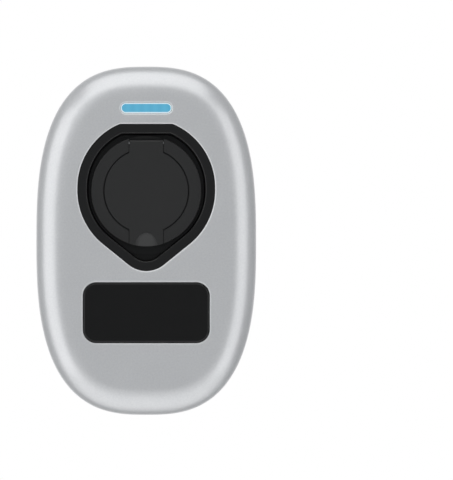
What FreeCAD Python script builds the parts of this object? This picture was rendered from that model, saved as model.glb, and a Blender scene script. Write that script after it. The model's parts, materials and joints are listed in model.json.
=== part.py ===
import FreeCAD, Part
import os
from math import pi, sin, cos, sqrt, exp, tan, asin, acos
from FreeCAD import Vector

# Wall box for charging a car, in millimetres. The wall is the plane y = 0, the front faces -y,
# z is up. The origin is the centre of the wall bracket's screw pattern, on the wall.

# For cutting and joining: reach past everything, run past a surface, overlap of joined pieces.
far = 400.0
over = 1.0
bite = 0.5
tiny = 0.01

# Front cover: a moulded shell with a superellipse outline and one large edge rounding.
cover_width = 221.0
cover_height = 350.0
cover_power = 2.75
cover_centre_z = 27.0
box_depth = 136.0
edge_round = 30.0
cover_wall = 2.6
cutout_gap = 0.4
cutout_bevel = 0.8
outline_points = 40

# Rear edge of the cover, seen from the side: upright, slanted, upright, then the chin notch.
parting_top_y = -94.2
parting_bend_z = 166.0
parting_bend_round = 60.0
parting_low_y = -59.9
parting_low_z = -90.0
parting_low_round = 8.0
notch_top_z = -130.4
notch_corner = 1.5
notch_front_y = -103.6
notch_round = 10.0

# Front body: the inner moulding under the cover, seen at the rim band and the chin.
body_wall = 2.6
cover_fit = 0.4
plate_gap = 0.3
rim_inset = 0.6
rim_round = 6.0
rim_run_out = 1.5
seam_gap = 0.4
seam_top_y = -80.9
seam_low_y = -56.5
hood_z = -92.0
chin_depth = 2.9
chin_rise = 20.0
front_post = 4.0
front_post_radius = 3.2

# Rubber band that fills the seam between front body and rear housing.
gasket_thick = 1.2
gasket_outer_inset = 5.2
gasket_width = 5.0

# Rear housing: a tub behind the cover, and a smaller wall box between the tub and the wall.
tub_inset = 3.3
tub_wall = 3.0
tub_back_y = -75.3
tub_back_z = 178.3
tub_slant = 0.145
tub_reach = 70.0
tub_draft = 0.04
tub_round = 9.0
wallbox_width = 168.0
wallbox_top = 136.0
wallbox_bottom = -136.0
wallbox_power = 6.0
wallbox_low_power = 3.3
neck_sections = (0.1, 0.25, 0.5, 1.0)
neck_overlap = 0.03
neck_root = 8.0
neck_softening = 1.5
neck_rise = 33.0
neck_slope = 8.0
neck_flare = 8.0
neck_decay = 0.15
wallbox_drop = 4.0
back_wall = 5.5
loft_degree = 3

# Socket bezel: a dish with a teardrop outline.
socket_z = 76.5
tear_radius = 68.2
tear_upper = 3.5
tear_lower = 0.5
tear_top = 66.5
tear_tip_radius = 27.4
tear_tip_drop = 79.8
flange_width = 8.9
flange_sink = 0.4
dish_wall = 2.4
dish_draft = 1.5
dish_depth = 28.0
dish_floor = 2.6
dish_bevel = 0.8
dish_gap = 0.3
plinth_radius = 63.5
plinth_height = 3.0

# Socket ring: two wings beside the lid on the lid's seat.
ring_radius = 55.3
ring_front_y = -131.5
ring_round = 1.2
seat_y = -126.0
trough_y = -123.6

# Sprung lid with a hinge barrel above and a finger notch below.
lid_radius = 41.5
lid_gap = 1.4
lid_front_y = -132.0
lid_thick = 3.5
lid_step = 1.4
tab_half = 16.8
tab_gap = 0.6
tab_root = 36.0
tab_inset = 0.2
notch_half = 10.8
notch_rise = 13.6
notch_deep = 2.6
notch_shallow = 0.5
arch_points = 9
seal_outer = 39.5
seal_inner = 35.7
seal_gap = 0.3

# Hinge pin and the coil round it.
hinge_rise = 48.4
hinge_radius = 3.8
pin_radius = 1.5
pin_half = 21.5
pin_fit = 0.03
pin_end_gap = 0.1
barrel_fit = 0.06
collar_length = 3.0
spring_bore = 3.0
spring_turns = 7
spring_pitch = 2.4
spring_wire = 0.4
spring_end_gap = 0.8

# Socket shell: the tube that takes the plug, its flange and the pad for the lock.
throat_radius = 33.5
shell_wall = 3.0
shell_gap = 0.3
shell_back_y = -90.0
shell_back_wall = 4.0
shell_flange = 92.0
shell_flange_thick = 4.0
shell_flange_round = 8.0
shell_screw_inset = 8.0
lock_pad_half = 16.0
lock_pad_root = 20.0
lock_rise = 38.0

# Contact carrier and contacts of the seven-way socket.
insert_radius = 24.0
insert_flat = 20.0
insert_front_y = -118.0
insert_round = 1.0
power_pin_spots = ((0, 0), (-15.5, 0), (15.5, 0), (-8.3, -13.6), (8.3, -13.6))
signal_pin_spots = ((-7.5, 12.0), (7.5, 12.0))
power_bore = 3.1
power_sleeve = 4.0
signal_bore = 1.6
signal_sleeve = 2.6
entry_gap = 0.2
sleeve_fit = 0.05
entry_depth = 3.0
sleeve_rear = 2.0
contact_tail = 10.0
tail_share = 0.6

# Locking pin and its motor box, above the plug recess.
lock_pin_radius = 3.0
lock_pin_y = -94.0
lock_pin_length = 22.0
lock_rest = 0.5
lock_tip = 0.6
lock_fit = 0.08
lock_hole_gap = 0.3
lock_stroke_room = 24.0
lock_box_half = 19.0
lock_box_depth = 22.0
lock_box_height = 26.0
lock_box_gap = 0.2
lock_motor_radius = 9.0
lock_motor_length = 10.0
lock_motor_x = 6.0

# Status light and badge plate on the front.
light_z = 159.2
light_length = 48.8
light_height = 8.1
light_rim = 0.9
light_flange = 3.2
light_flange_thick = 2.2
light_gap = 0.2
lens_depth = 2.0
lens_proud = 0.2
lens_fit = 0.05
badge_z = -44.7
badge_width = 125.6
badge_height = 59.8
badge_corner = 13.0
badge_proud = 0.6
badge_round = 2.4

# Circuit boards on their posts.
board_thick = 1.6
board_corner = 2.0
board_width = 104.0
board_height = 214.0
board_y = -28.4
board_inset = 7.0
board_post_radius = 4.0
led_board_width = 88.0
led_board_height = 18.0
led_screw_inset = 6.0
radio_board_width = 96.0
radio_board_height = 46.0
radio_screw_inset = 5.0
lamp_size = 3.5
lamp_rise = 1.4
lamp_pitch = 9.0
lamp_count = 5

# Larger parts of the main board: x and z of the centre, width, height, rise.
board_blocks = ((-38, 51, 12, 22, 26), (38, 46, 16, 32, 18), (39, -40, 14, 40, 10),
                (0, 80, 16, 16, 3))
can_spots = ((-38, 26), (-38, 10))
can_radius = 6.0
can_rise = 22.0

# Four-pole switch block.
switch_width = 54.0
switch_low_z = -74.0
switch_top_z = 8.0
switch_rise = 38.0
switch_crown_rise = 56.0
switch_crown_inset = 18.0
switch_poles = 4
switch_pitch = 13.0
clamp_inset = 8.0
clamp_radius = 4.2
clamp_depth = 6.0

# Five-way supply terminal.
terminal_ways = 5
terminal_pitch = 14.0
terminal_low_z = -103.0
terminal_height = 23.0
terminal_rise = 28.0
funnel_width = 9.0
funnel_depth = 11.0
funnel_low = 5.0
funnel_high = 16.0
well_radius = 3.2
well_z = 17.0
well_depth = 8.0

# Leakage sensor.
sensor_z = 26.0
sensor_width = 44.0
sensor_height = 18.0
sensor_rise = 36.0
sensor_corner = 2.0
sensor_hole_radius = 11.0
sensor_hole_rise = 20.0

# Screws: small ones for boards and socket, long ones that join front body and rear housing.
screw_radius = 1.5
screw_head = 2.9
screw_head_height = 1.8
screw_head_round = 0.7
screw_fit = 0.1
screw_gap = 0.2
board_screw_length = 9.0
front_screw_length = 4.5
flange_screw_length = 6.0
pilot_reach = 0.3
post_skin = 0.6
post_x = 64.0
post_top_z = 118.0
post_low_z = -85.0
post_radius = 5.0
body_screw_radius = 2.0
body_screw_head = 4.0
body_screw_length = 16.0
body_screw_sink = 2.1
body_screw_boss = 6.5
body_screw_gap = 0.3
body_head_gap = 0.4

# Wall bracket, folded from steel sheet.
bracket_width = 136.0
bracket_height = 190.0
bracket_thick = 2.0
bracket_corner = 14.0
bracket_seat = 2.2
bracket_gap = 0.5
bracket_window_width = 64.0
bracket_window_height = 48.0
bracket_window_corner = 8.0
wall_hole_radius = 3.25
wall_hole_x = 54.0
wall_hole_z = 80.0
hook_x = 30.0
hook_width = 16.0
hook_z = 86.0
hook_rise = 12.0
hook_gap = 0.6
hook_seat = 0.2
hook_reach_gap = 0.4
hook_relief = 1.0
head_pocket = 8.0
head_pocket_depth = 5.0
pocket_wall = 2.5

# Rubber cable entry.
grommet_z = -60.0
grommet_radius = 16.0
grommet_fit = 0.05
grommet_flange = 19.0
grommet_flange_thick = 2.0
groove_pitch = 4.0
groove_width = 1.5
groove_depth = 1.0
groove_count = 3

front_y = -box_depth
half_w = cover_width / 2
half_h = cover_height / 2
cover_top_z = cover_centre_z + half_h
cover_foot_z = cover_centre_z - half_h
plate_front_y = front_y + cover_wall + plate_gap
plate_back_y = plate_front_y + body_wall
inner_inset = cover_wall + cover_fit
dish_front_y = front_y + flange_sink
dish_floor_y = front_y + dish_depth
dish_back_y = dish_floor_y + dish_floor
plinth_y = dish_floor_y - plinth_height
shell_flange_y = dish_back_y + shell_flange_thick
shell_rear_y = shell_back_y + shell_back_wall
post_end_y = plate_back_y + body_screw_sink
hinge_y = lid_front_y + hinge_radius
hinge_z = socket_z + hinge_rise
collar_x = collar_length - tab_half
main_board_y = board_y - board_thick
front_board_y = plate_back_y + front_post


def block(x0, x1, y0, y1, z0, z1):
    return Part.makeBox(x1 - x0, y1 - y0, z1 - z0, Vector(x0, y0, z0))


def disc(radius, y0, y1, x=0.0, z=0.0):
    return Part.makeCylinder(radius, y1 - y0, Vector(x, y0, z), Vector(0, 1, 0))


def rod_x(radius, x0, x1, y, z):
    return Part.makeCylinder(radius, x1 - x0, Vector(x0, y, z), Vector(1, 0, 0))


def rod_z(radius, z0, z1, x, y):
    return Part.makeCylinder(radius, z1 - z0, Vector(x, y, z0), Vector(0, 0, 1))


def joined(shapes):
    return shapes[0].multiFuse(shapes[1:]).removeSplitter()


def without(body, tools):
    for tool in tools:
        body = body.cut(tool)
    return body


def edges_at(body, y):
    """The edges whose rearmost point lies at y, such as the front rim of an upright solid."""
    return [e for e in body.Edges if abs(e.BoundBox.YMax - y) < tiny]


def superellipse(side, top, bottom, power, depth_at, low_power=0.0):
    """Closed smooth curve; depth_at(z) gives the y of each point."""
    mid = (top + bottom) / 2
    rise = (top - bottom) / 2
    points = []
    for k in range(outline_points):
        c = cos(2 * pi * k / outline_points)
        s = sin(2 * pi * k / outline_points)
        n = low_power if low_power and s < 0 else power
        reach = (abs(c) ** n + abs(s) ** n) ** (-1 / n)
        z = mid + rise * reach * s
        points.append(Vector(side * reach * c, depth_at(z), z))
    curve = Part.BSplineCurve()
    curve.interpolate(Points=points, PeriodicFlag=True)
    return Part.Wire([curve.toShape()])


def cover_prism(inset, y0, y1):
    outline = superellipse(half_w - inset, cover_top_z - inset, cover_foot_z + inset,
                           cover_power, lambda z: y0)
    return Part.Face(outline).extrude(Vector(0, y1 - y0, 0))


def pebble(inset, y0, y1):
    """The cover's outline as a solid with the large rounding round its front."""
    body = cover_prism(inset, y0, y1)
    return body.makeFillet(edge_round - inset, edges_at(body, y0))


def rounded(corners, place):
    """Closed outline through corners (u, v, radius); place(u, v) puts a point in space."""
    count = len(corners)
    ends = []
    for i in range(count):
        u, v, r = corners[i]
        here = Vector(u, v, 0)
        back = (Vector(*corners[i - 1][:2], 0) - here).normalize()
        ahead = (Vector(*corners[(i + 1) % count][:2], 0) - here).normalize()
        turn = acos(max(-1, min(1, back.dot(ahead)))) / 2
        run = r / tan(turn)
        middle = here
        if r:
            middle = here + (back + ahead).normalize() * (r / sin(turn) - r)
        ends.append((here + back * run, middle, here + ahead * run, r))
    edges = []
    for i in range(count):
        start, middle, end, r = ends[i]
        points = [place(p.x, p.y) for p in (start, middle, end)]
        if r:
            edges.append(Part.Arc(*points).toShape())
        follow = ends[(i + 1) % count][0]
        if (follow - end).Length > 1e-6:
            edges.append(Part.makeLine(points[2], place(follow.x, follow.y)))
    return Part.Wire(edges)


def side_slab(corners):
    """A side profile (y, z, radius), run right across the box along x."""
    wire = rounded(corners, lambda y, z: Vector(-far, y, z))
    return Part.Face(wire).extrude(Vector(2 * far, 0, 0))


def bar_outline(width, height, corner, y, x, z):
    w, h = width / 2, height / 2
    corners = [(-w, -h, corner), (w, -h, corner), (w, h, corner), (-w, h, corner)]
    return rounded(corners, lambda u, v: Vector(x + u, y, z + v))


def rounded_bar(width, height, corner, y0, y1, x=0.0, z=0.0):
    return Part.Face(bar_outline(width, height, corner, y0, x, z)).extrude(Vector(0, y1 - y0, 0))


def light_outline(grow, y):
    height = light_height + 2 * grow
    return bar_outline(light_length + 2 * grow, height, height / 2 - tiny, y, 0, light_z)


def light_bar(grow, y0, y1):
    return Part.Face(light_outline(grow, y0)).extrude(Vector(0, y1 - y0, 0))


def badge_outline(grow, y):
    return bar_outline(badge_width + 2 * grow, badge_height + 2 * grow, badge_corner + grow,
                       y, 0, badge_z)


def tear_outline(grow, y):
    """Teardrop: flat top, two round shoulders and a small round tip below."""
    r = tear_radius + grow
    high = socket_z + tear_upper
    low = socket_z + tear_lower
    tip_r = tear_tip_radius + grow
    lean = asin((tear_radius - tear_tip_radius) / (tear_tip_drop - tear_tip_radius))
    tip_z = low - (tear_tip_drop - tear_tip_radius)
    top = socket_z + tear_top + grow
    top_x = sqrt(r * r - (top - high) ** 2)

    def at(x, z):
        return Vector(x, y, z)

    def around(cz, radius, angle):
        return at(radius * cos(angle), cz + radius * sin(angle))

    up = asin((top - high) / r)
    right = [Part.Arc(at(top_x, top), around(high, r, up / 2), at(r, high)).toShape(),
             Part.makeLine(at(r, high), at(r, low)),
             Part.Arc(at(r, low), around(low, r, -lean / 2), around(low, r, -lean)).toShape(),
             Part.makeLine(around(low, r, -lean), around(tip_z, tip_r, -lean))]
    tip = Part.Arc(around(tip_z, tip_r, -lean), at(0, tip_z - tip_r),
                   around(tip_z, tip_r, lean - pi)).toShape()
    left = [e.mirror(Vector(0, 0, 0), Vector(1, 0, 0)) for e in right]
    cap = Part.makeLine(at(-top_x, top), at(top_x, top))
    return Part.Wire(Part.__sortEdges__([cap] + right + [tip] + left))


def tear_prism(grow, y0, y1):
    return Part.Face(tear_outline(grow, y0)).extrude(Vector(0, y1 - y0, 0))


def parting_region():
    """Everything in front of the cover's rear edge."""
    return side_slab([(-far, far, 0), (parting_top_y, far, 0),
                      (parting_top_y, parting_bend_z, parting_bend_round),
                      (parting_low_y, parting_low_z, parting_low_round),
                      (parting_low_y, notch_top_z, notch_corner),
                      (notch_front_y, notch_top_z, notch_round), (notch_front_y, -far, 0),
                      (-far, -far, 0)])


def grown_region(region):
    """The same, one gap further back and further down."""
    moved = region.copy()
    moved.translate(Vector(0, seam_gap, 0))
    lower = region.copy()
    lower.translate(Vector(0, 0, -seam_gap))
    return moved.fuse(lower)


def front_of_seam(shift):
    """Everything in front of the stepped seam between front body and rear housing."""
    step_z = hood_z + shift
    return side_slab([(-far, far, 0), (seam_top_y + shift, far, 0),
                      (seam_top_y + shift, step_z, 0), (seam_low_y + shift, step_z, 0),
                      (seam_low_y + shift, -far, 0), (-far, -far, 0)])


def front_cover(region):
    shell = pebble(0, front_y, 0).common(region)
    shell = shell.cut(pebble(cover_wall, front_y + cover_wall, over))
    for outline, gap in ((tear_outline, cutout_gap), (badge_outline, cutout_gap),
                         (light_outline, light_rim + cutout_gap)):
        hole = Part.Face(outline(gap, front_y - over)).extrude(Vector(0, cover_wall + 2 * over, 0))
        lip = Part.makeLoft([outline(gap + cutout_bevel + over, front_y - over),
                             outline(gap, front_y + cutout_bevel)], True, True)
        shell = shell.cut(hole).cut(lip)
    return shell


def tub_plane(z):
    return tub_back_y + tub_slant * (tub_back_z - z)


def tub(grow, stop):
    """Slanted prism with a little draft and a rounded rear edge, stop in front of the tub's back."""
    wires = []
    for ahead in (tub_reach, 0):
        inset = tub_inset + tub_draft * (tub_reach - ahead) + grow
        wires.append(superellipse(half_w - inset, cover_top_z - inset, cover_foot_z + inset,
                                  cover_power, lambda z: tub_plane(z) - ahead - stop))
    body = Part.makeLoft(wires, True, True)
    back = max(body.Edges, key=lambda e: e.BoundBox.YMax)
    return body.makeFillet(tub_round - grow, [back])


def wall_box(grow, back_y):
    """Loft from the tub's slanted back to the upright wall, with a flared neck rooted in the tub."""
    wires = []
    for share in (-neck_overlap,) + neck_sections:
        run = max(share, 0)
        fade = exp(-run / neck_decay)
        side = wallbox_width / 2 + neck_flare * fade
        top = wallbox_top + neck_slope * (1 - share) + neck_rise * fade
        low = wallbox_bottom - wallbox_drop * (1 - run)
        wires.append(superellipse(side - grow, top - grow, low + grow,
                                  wallbox_power - neck_softening * fade,
                                  lambda z: (1 - share) * tub_plane(z) + share * back_y,
                                  wallbox_low_power))
    root = Part.Face(wires[0]).extrude(Vector(0, -neck_root, 0))
    return Part.makeLoft(wires, True, False, False, loft_degree).fuse(root)


def rear_housing():
    outer = tub(0, 0).fuse(wall_box(0, 0)).cut(front_of_seam(gasket_thick))
    hollow = tub(tub_wall, tub_wall).fuse(wall_box(tub_wall, -back_wall))
    hollow = hollow.common(block(-far, far, -far, -back_wall, -far, far))
    return without(outer.cut(hollow).multiFuse(housing_posts()), housing_holes())


def housing_posts():
    foot_y = bite - back_wall
    pocket_y = -bracket_seat - head_pocket_depth - pocket_wall
    posts = [disc(post_radius, post_end_y, foot_y, x, z) for x, z in post_spots()]
    posts += [disc(board_post_radius, board_y, foot_y, x, z) for x, z in board_spots()]
    posts += [disc(head_pocket + pocket_wall, pocket_y, foot_y, x, z) for x, z in wall_spots()]
    return posts


def housing_holes():
    screw_end_y = plate_front_y + body_screw_sink + body_screw_length + over
    holes = [rounded_bar(bracket_width + 2 * bracket_gap, bracket_height + 2 * bracket_gap,
                         bracket_corner + bracket_gap, -bracket_seat, over),
             disc(grommet_radius, -back_wall - over, over, 0, grommet_z)]
    for x, z in wall_spots():
        holes.append(disc(head_pocket, -bracket_seat - head_pocket_depth, 0, x, z))
    for x in (-hook_x, hook_x):
        half = hook_width / 2 + hook_gap
        holes.append(block(x - half, x + half, -back_wall - over, over, hook_z - hook_rise,
                           hook_z + bracket_thick + hook_seat))
    for x, z in board_spots():
        holes.append(disc(screw_radius + screw_fit, board_y, board_y + board_screw_length + over,
                          x, z))
    for x, z in post_spots():
        holes.append(disc(body_screw_radius + screw_fit, post_end_y, screw_end_y, x, z))
    return holes


def body_gasket():
    """Band that follows the stepped seam between front body and rear housing."""
    ring = cover_prism(gasket_outer_inset, seam_top_y, seam_low_y + gasket_thick)
    ring = ring.cut(cover_prism(gasket_outer_inset + gasket_width, seam_top_y - over, 0))
    return ring.common(front_of_seam(gasket_thick)).cut(front_of_seam(0))


def front_body(region):
    inner = pebble(inner_inset, plate_front_y, 0)
    rear = seam_top_y + rim_run_out
    band = cover_prism(rim_inset, front_y + edge_round, rear)
    band = band.makeFillet(rim_round, edges_at_rear(band, rear))
    low = cover_prism(rim_inset, front_y + edge_round, seam_low_y)
    low = low.common(block(-far, far, -far, 0, -far, hood_z))
    band = band.fuse(low).fuse(chin()).cut(grown_region(region))
    solid = inner.fuse(band).common(front_of_seam(0))
    solid = solid.cut(pebble(inner_inset + body_wall, plate_back_y, over))
    bosses = [disc(front_post_radius, plate_back_y - bite, front_board_y, x, z)
              for x, z in led_spots() + radio_spots()]
    bosses += [disc(body_screw_boss, plate_back_y - bite, post_end_y, x, z)
               for x, z in post_spots()]
    return without(solid.multiFuse(bosses), front_body_holes())


def edges_at_rear(body, y):
    """The closed rear outline of an upright solid that ends at y."""
    return [e for e in body.Edges if abs(e.BoundBox.YMin - y) < tiny]


def front_body_holes():
    holes = [tear_prism(dish_wall + dish_gap - flange_width, front_y, dish_floor_y),
             light_bar(light_rim + light_gap, front_y, front_board_y)]
    for x, z in post_spots():
        holes.append(disc(body_screw_radius + body_screw_gap, front_y, post_end_y + over, x, z))
        holes.append(disc(body_screw_head + body_head_gap, front_y,
                          plate_front_y + body_screw_sink, x, z))
    for x, z in led_spots() + radio_spots():
        holes.append(disc(screw_radius + screw_fit, plate_back_y + post_skin, front_board_y, x, z))
    return holes


def chin():
    """The lower lip, growing downward toward the rear."""
    wires = []
    for y in (front_y + edge_round, seam_low_y + over):
        grow = chin_depth * (y - notch_front_y) / (seam_low_y - notch_front_y)
        rise = half_h - rim_inset + grow
        wires.append(superellipse(half_w - rim_inset, cover_centre_z + rise,
                                  cover_centre_z - rise, cover_power, lambda z: y))
    lip = Part.makeLoft(wires, True, True)
    return lip.common(block(-far, far, -far, 0, -far, notch_top_z + chin_rise))


def post_spots():
    return [(x, z) for x in (-post_x, post_x) for z in (post_top_z, post_low_z)]


def wall_spots():
    return [(x, z) for x in (-wall_hole_x, wall_hole_x) for z in (-wall_hole_z, wall_hole_z)]


def corner_spots(width, height, inset, z):
    w, h = width / 2 - inset, height / 2 - inset
    return [(i * w, z + j * h) for i in (-1, 1) for j in (-1, 1)]


def board_spots():
    return corner_spots(board_width, board_height, board_inset, 0)


def radio_spots():
    return corner_spots(radio_board_width, radio_board_height, radio_screw_inset, badge_z)


def flange_spots():
    return corner_spots(shell_flange, shell_flange, shell_screw_inset, socket_z)


def led_spots():
    x = led_board_width / 2 - led_screw_inset
    return [(-x, light_z), (x, light_z)]


def socket_bezel():
    """Teardrop dish: flange on the front body, drafted walls, floor with a raised plinth."""
    body = tear_prism(0, dish_front_y, plate_front_y)
    body = body.fuse(tear_prism(dish_wall - flange_width, dish_front_y, dish_back_y))
    hollow = Part.makeLoft([tear_outline(-flange_width, dish_front_y - over),
                            tear_outline(-flange_width - dish_draft, dish_floor_y)], True, True)
    plinth = disc(plinth_radius, plinth_y, dish_floor_y + bite, 0, socket_z).common(hollow)
    lip = Part.makeLoft([tear_outline(dish_bevel + over - flange_width, dish_front_y - over),
                         tear_outline(-flange_width, dish_front_y + dish_bevel)], True, True)
    body = body.cut(hollow).cut(lip).fuse(plinth)
    holes = [disc(screw_radius + screw_fit, dish_floor_y - pilot_reach, dish_back_y, x, z)
             for x, z in flange_spots()]
    holes.append(disc(throat_radius + shell_wall + shell_gap, plinth_y - over, dish_back_y + over,
                      0, socket_z))
    return without(body, holes)


def socket_ring():
    """Two wings beside the lid, joined by the lid's seat."""
    body = disc(ring_radius, ring_front_y, plinth_y, 0, socket_z)
    body = body.makeFillet(ring_round, edges_at(body, ring_front_y))
    slot = tab_half + tab_gap
    top = socket_z + ring_radius + over
    foot = socket_z - ring_radius - over
    return without(body, [
        disc(lid_radius + lid_gap, front_y, seat_y, 0, socket_z),
        disc(throat_radius, front_y, 0, 0, socket_z),
        block(-slot, slot, front_y, seat_y, socket_z + tab_root, top),
        block(-slot, slot, front_y, trough_y, hinge_z - hinge_radius - tab_gap, top),
        block(-slot, slot, front_y, seat_y, foot, socket_z - tab_root),
        rod_x(pin_radius + pin_fit, -pin_half, pin_half, hinge_y, hinge_z)])


def socket_lid():
    back = lid_front_y + lid_thick
    foot = socket_z - ring_radius
    plate = disc(lid_radius, lid_front_y, back, 0, socket_z)
    tabs = block(-tab_half, tab_half, lid_front_y, back, foot, hinge_z)
    tabs = tabs.common(disc(ring_radius - tab_inset, lid_front_y, back, 0, socket_z))
    body = joined([plate, tabs, rod_x(hinge_radius, -tab_half, tab_half, hinge_y, hinge_z),
                   disc(seal_inner - seal_gap, back - bite, back + lid_step, 0, socket_z)])
    ramp_top = foot + notch_rise + over
    ramp = side_slab([(front_y, foot - over, 0), (lid_front_y + notch_deep, foot - over, 0),
                      (lid_front_y + notch_shallow, ramp_top, 0), (front_y, ramp_top, 0)])
    spring_end = collar_x + spring_turns * spring_pitch + 2 * spring_end_gap
    return without(body, [
        finger_notch(foot).common(ramp),
        rod_x(pin_radius + barrel_fit, -pin_half, pin_half, hinge_y, hinge_z),
        rod_x(spring_bore, -pin_half, spring_end, hinge_y, hinge_z)])


def finger_notch(foot):
    """Half an oval that stands on the lid's lower edge."""
    y = front_y - over
    points = []
    for k in range(arch_points):
        turn = pi * k / (arch_points - 1)
        points.append(Vector(notch_half * cos(turn), y, foot + notch_rise * sin(turn)))
    arch = Part.BSplineCurve()
    arch.interpolate(Points=points)
    left, right = Vector(-notch_half, y, foot - over), Vector(notch_half, y, foot - over)
    legs = [Part.makeLine(points[-1], left), Part.makeLine(left, right),
            Part.makeLine(right, points[0])]
    oval = Part.Face(Part.Wire([arch.toShape()] + legs))
    return oval.extrude(Vector(0, lid_front_y + lid_thick - y, 0))


def lid_hinge_pin():
    end = pin_half - pin_end_gap
    pin = rod_x(pin_radius, -end, end, hinge_y, hinge_z)
    return pin.fuse(rod_x(spring_bore - barrel_fit, -tab_half, collar_x, hinge_y, hinge_z))


def lid_spring():
    """Coil round the hinge pin, inside the lid's barrel."""
    mean = (pin_radius + spring_bore) / 2
    path = Part.makeHelix(spring_pitch, spring_turns * spring_pitch, mean)
    ring = Part.Wire([Part.makeCircle(spring_wire, Vector(mean, 0, 0), Vector(0, 1, 0))])
    coil = Part.Wire(path.Edges).makePipeShell([ring], True, True)
    coil.Placement = FreeCAD.Placement(Vector(collar_x + spring_end_gap, hinge_y, hinge_z),
                                       FreeCAD.Rotation(Vector(0, 1, 0), 90))
    return coil


def lid_seal():
    back = lid_front_y + lid_thick
    ring = disc(seal_outer, back, seat_y - seal_gap, 0, socket_z)
    return ring.cut(disc(seal_inner, back - over, seat_y, 0, socket_z))


def socket_shell():
    """Tube that takes the plug, with a square flange behind the dish and a pad for the lock."""
    body = disc(throat_radius + shell_wall, plinth_y, shell_rear_y, 0, socket_z)
    body = body.fuse(rounded_bar(shell_flange, shell_flange, shell_flange_round, dish_back_y,
                                 shell_flange_y, 0, socket_z))
    body = body.fuse(block(-lock_pad_half, lock_pad_half, shell_flange_y - bite, shell_rear_y,
                           socket_z + lock_pad_root, socket_z + lock_rise))
    holes = [disc(throat_radius, plinth_y - over, shell_back_y, 0, socket_z),
             rod_z(lock_pin_radius + lock_hole_gap, socket_z + lock_pad_root,
                   socket_z + lock_rise + over, 0, lock_pin_y)]
    for spots, sleeve in ((power_pin_spots, power_sleeve), (signal_pin_spots, signal_sleeve)):
        for x, z in spots:
            holes.append(disc(sleeve + sleeve_fit, front_y, 0, x, socket_z + z))
    for x, z in flange_spots():
        holes.append(disc(screw_radius + screw_fit + screw_gap, front_y, 0, x, z))
    return without(body, holes)


def socket_insert():
    """Seven-way contact carrier, round with a flat top."""
    body = disc(insert_radius, insert_front_y, shell_back_y, 0, socket_z)
    body = body.makeFillet(insert_round, edges_at(body, insert_front_y))
    holes = [block(-far, far, -far, 0, socket_z + insert_flat, far)]
    for spots, bore, sleeve in ((power_pin_spots, power_bore, power_sleeve),
                                (signal_pin_spots, signal_bore, signal_sleeve)):
        for x, z in spots:
            holes.append(disc(bore + entry_gap, front_y, 0, x, socket_z + z))
            holes.append(disc(sleeve + sleeve_fit, insert_front_y + entry_depth, 0,
                              x, socket_z + z))
    return without(body, holes)


def contacts(spots, sleeve, bore):
    """Sleeves that take the plug's pins, each with a solid tail for its wire."""
    front = insert_front_y + entry_depth + entry_gap
    rear = shell_rear_y + sleeve_rear
    pieces = []
    for x, z in spots:
        piece = disc(sleeve, front, rear, x, socket_z + z)
        piece = piece.fuse(disc(sleeve * tail_share, rear, rear + contact_tail, x, socket_z + z))
        pieces.append(piece.cut(disc(bore, front - over, shell_back_y, x, socket_z + z)))
    return Part.makeCompound(pieces)


def lock_actuator():
    """Motor box that drives the locking pin, on the pad above the plug recess."""
    front = shell_flange_y + lock_box_gap
    back = front + lock_box_depth
    floor = socket_z + lock_rise
    body = block(-lock_box_half, lock_box_half, front, back, floor, floor + lock_box_height)
    body = body.fuse(disc(lock_motor_radius, back, back + lock_motor_length, lock_motor_x,
                          floor + lock_box_height / 2))
    return body.cut(rod_z(lock_pin_radius + lock_fit, floor - over, floor + lock_stroke_room,
                          0, lock_pin_y))


def lock_pin():
    tip = socket_z + throat_radius + lock_rest
    pin = rod_z(lock_pin_radius, tip, tip + lock_pin_length, 0, lock_pin_y)
    return pin.makeChamfer(lock_tip, [e for e in pin.Edges if abs(e.BoundBox.ZMax - tip) < tiny])


def light_guide():
    """Pale guide that fills the cut-out, with a flange behind the plate."""
    back = plate_back_y + light_flange_thick
    body = light_bar(light_rim, front_y, back).fuse(light_bar(light_flange, plate_back_y, back))
    return body.cut(light_bar(0, front_y - over, front_y + lens_depth))


def light_lens():
    return light_bar(-lens_fit, front_y - lens_proud, front_y + lens_depth)


def badge_plate():
    front = front_y - badge_proud
    body = Part.Face(badge_outline(0, front)).extrude(Vector(0, plate_front_y - front, 0))
    return body.makeFillet(badge_round, edges_at(body, front))


def board(width, height, y, z, spots):
    plate = rounded_bar(width, height, board_corner, y, y + board_thick, 0, z)
    return without(plate, [disc(screw_radius + screw_gap, y - over, y + board_thick + over, x, s)
                           for x, s in spots])


def led_board():
    plate = board(led_board_width, led_board_height, front_board_y, light_z, led_spots())
    half = lamp_size / 2
    lamps = []
    for k in range(lamp_count):
        x = lamp_pitch * (k - (lamp_count - 1) / 2)
        lamps.append(block(x - half, x + half, front_board_y - lamp_rise, front_board_y,
                           light_z - half, light_z + half))
    return joined([plate] + lamps)


def radio_board():
    return board(radio_board_width, radio_board_height, front_board_y, badge_z, radio_spots())


def control_board():
    """Main circuit board on four posts of the housing, with its larger parts."""
    y = main_board_y
    pieces = [board(board_width, board_height, y, 0, board_spots())]
    for x, z, width, height, rise in board_blocks:
        pieces.append(block(x - width / 2, x + width / 2, y - rise, y,
                            z - height / 2, z + height / 2))
    pieces += [disc(can_radius, y - can_rise, y, x, z) for x, z in can_spots]
    return joined(pieces)


def contactor():
    """Four-pole switch block with a raised crown and two rows of clamps."""
    y = main_board_y
    half = switch_width / 2
    body = block(-half, half, y - switch_rise, y, switch_low_z, switch_top_z)
    body = body.fuse(block(-half, half, y - switch_crown_rise, y - switch_rise + bite,
                           switch_low_z + switch_crown_inset, switch_top_z - switch_crown_inset))
    wells = []
    for k in range(switch_poles):
        x = switch_pitch * (k - (switch_poles - 1) / 2)
        for z in (switch_low_z + clamp_inset, switch_top_z - clamp_inset):
            wells.append(disc(clamp_radius, y - switch_rise - over,
                              y - switch_rise + clamp_depth, x, z))
    return without(body, wells)


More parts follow.
